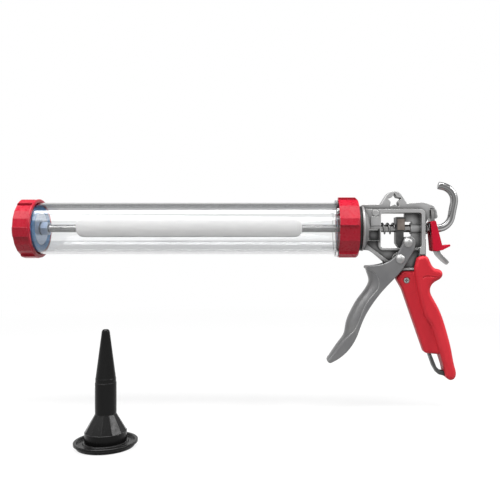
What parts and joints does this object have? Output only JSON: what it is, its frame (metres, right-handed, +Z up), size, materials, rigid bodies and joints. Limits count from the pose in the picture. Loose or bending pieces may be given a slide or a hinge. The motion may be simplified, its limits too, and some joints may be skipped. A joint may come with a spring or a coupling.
{
  "type": "caulking gun",
  "caption": "Hand caulking gun for foil sausages: clear swivelling barrel with red screw caps, cast frame and trigger, hooked push rod, thumb release and a loose nozzle.",
  "frame": {"origin": "centre of the nozzle opening at the front cap's outer face, on the push rod's axis", "axes": "+X along the barrel from the front cap to the handle, +Z up, the grip hangs towards -Z"},
  "size_m": [0.4552, 0.1821, 0.2369],
  "materials": {
    "cast_aluminium": "fine satin casting",
    "trigger_alloy": "satin casting",
    "red_cap": "glossy moulded",
    "red_grip": "satin moulded",
    "clear_tube": "clear polished",
    "black_rubber": "matt",
    "bright_steel": "bright drawn",
    "plated_steel": "zinc plated",
    "dark_steel": "blackened",
    "bronze_steel": "heat-treated brown",
    "spring_steel": "drawn wire",
    "blue_seal": "glossy moulded",
    "black_nozzle": "satin moulded"
  },
  "bodies": {
    "frame": {"frame_casting": "cast_aluminium", "grip_near_half": "red_grip", "grip_far_half": "red_grip", "grip_screws": "bright_steel", "swivel_washer": "black_rubber", "end_plate": "plated_steel", "spigot_nut": "plated_steel", "pivot_rivet": "bright_steel", "return_spring": "spring_steel", "release_spring": "spring_steel"},
    "barrel": {"barrel_tube": "clear_tube", "rear_ring": "red_cap"},
    "cap": {"front_cap": "red_cap"},
    "rod": {"push_rod": "bright_steel", "piston_seal": "blue_seal", "piston_plate": "plated_steel", "piston_spring_washer": "plated_steel", "piston_nut": "plated_steel", "piston_front_nut": "plated_steel"},
    "trigger": {"trigger": "trigger_alloy", "drive_pin": "bright_steel"},
    "drive": {"drive_block": "dark_steel", "drive_collar": "bronze_steel"},
    "release": {"release_plate": "bright_steel", "release_pad": "red_cap"},
    "nozzle": {"nozzle": "black_nozzle"}
  },
  "joints": [
    {"name": "barrel_swivel", "type": "hinge", "parent": "frame", "child": "barrel", "pos_m": [0.346, 0, 0], "axis": [1, 0, 0], "continuous": true},
    {"name": "cap_off", "type": "slide", "parent": "barrel", "child": "cap", "axis": [-1, 0, 0], "range_m": [0, 0.06]},
    {"name": "rod_slide", "type": "slide", "parent": "frame", "child": "rod", "axis": [1, 0, 0], "range_m": [0, 0.3]},
    {"name": "trigger_squeeze", "type": "hinge", "parent": "frame", "child": "trigger", "pos_m": [0.3925, 0, -0.0319], "axis": [0, -1, 0], "range_deg": [0, 26], "stiffness_Nm_per_rad": 0.3, "springref_deg": -34.38},
    {"name": "drive_slide", "type": "slide", "parent": "frame", "child": "drive", "axis": [-1, 0, 0], "range_m": [0, 0.00823], "deforming": ["return_spring"]},
    {"name": "release_press", "type": "hinge", "parent": "frame", "child": "release", "pos_m": [0.4265, 0, 0.0168], "axis": [0, 1, 0], "range_deg": [0, 6], "stiffness_Nm_per_rad": 0.4, "springref_deg": -17.19, "deforming": ["release_spring"]},
    {"name": "nozzle_lift", "type": "slide", "parent": "frame", "child": "nozzle", "axis": [0, 0, 1], "range_m": [0, 0.1]}
  ],
  "couplings": [
    {"joint": "drive_slide", "follows": "trigger_squeeze", "m_per_rad": 0.017917}
  ]
}
